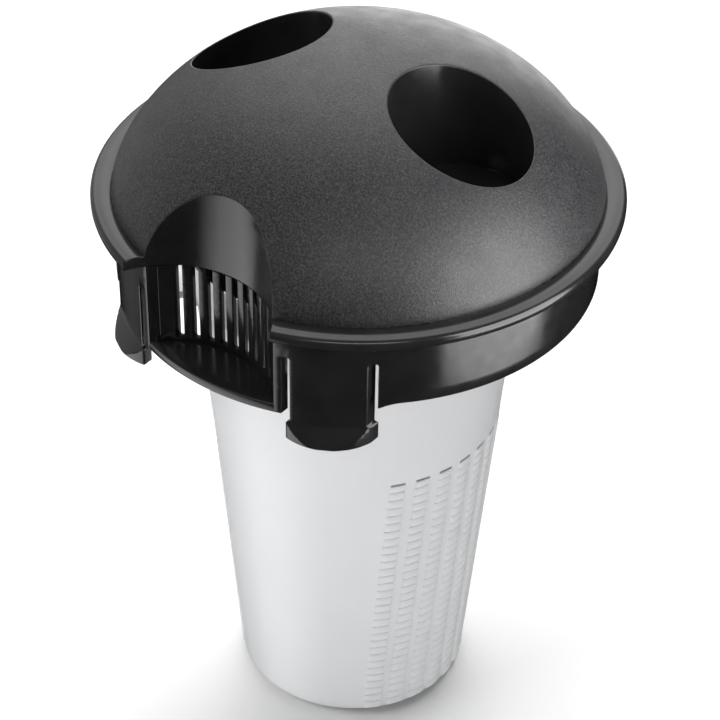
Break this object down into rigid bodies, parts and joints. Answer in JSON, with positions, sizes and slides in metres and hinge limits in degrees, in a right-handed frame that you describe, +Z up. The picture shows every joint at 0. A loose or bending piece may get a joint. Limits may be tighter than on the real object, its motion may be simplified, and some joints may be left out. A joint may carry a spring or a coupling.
{
  "type": "floating chlorine dispenser",
  "caption": "Domed float head with finger wells and a slotted inlet bay over a tapered translucent dosing basket, with sprung latch clips.",
  "frame": {"origin": "centre of the basket's flat base", "axes": "+Z up along the basket's axis; the inlet bay faces -Y; +X to the right of someone facing the bay"},
  "size_m": [0.2, 0.1941, 0.2922],
  "materials": {
    "grained_black": "fine spark-eroded grain, satin",
    "gloss_black": "smooth moulded",
    "inner_grey": "smooth moulded",
    "foam_white": "closed-cell bead foam",
    "milky_white": "translucent natural polypropylene",
    "steel": "plain stainless"
  },
  "bodies": {
    "head": {"dome_cover": "grained_black", "base_ring": "gloss_black", "inlet_grille": "gloss_black", "float_plate": "inner_grey", "float_foam_left": "foam_white", "float_foam_right": "foam_white", "ring_screw_1": "steel", "ring_screw_2": "steel", "ring_screw_3": "steel", "ring_screw_4": "steel", "hinge_pin": "steel"},
    "clip_left": {"latch_clip_left": "gloss_black"},
    "clip_right": {"latch_clip_right": "gloss_black"},
    "collar": {"basket_collar": "milky_white"},
    "basket": {"basket": "milky_white"}
  },
  "joints": [
    {"name": "clip_left_flex", "type": "hinge", "parent": "head", "child": "clip_left", "pos_m": [-0.04568, -0.07755, 0.2217], "axis": [-0.8616, 0.5075, 0], "range_deg": [0, 8], "stiffness_Nm_per_rad": 0.3},
    {"name": "clip_right_flex", "type": "hinge", "parent": "head", "child": "clip_right", "pos_m": [0.04568, -0.07755, 0.2217], "axis": [-0.8616, -0.5075, 0], "range_deg": [0, 8], "stiffness_Nm_per_rad": 0.3},
    {"name": "collar_swing", "type": "hinge", "parent": "head", "child": "collar", "pos_m": [0, 0.081, 0.214], "axis": [1, 0, 0], "range_deg": [0, 40]},
    {"name": "basket_twist", "type": "hinge", "parent": "collar", "child": "basket", "pos_m": [0, 0, 0.215], "axis": [0, 0, 1], "range_deg": [0, 60]}
  ]
}
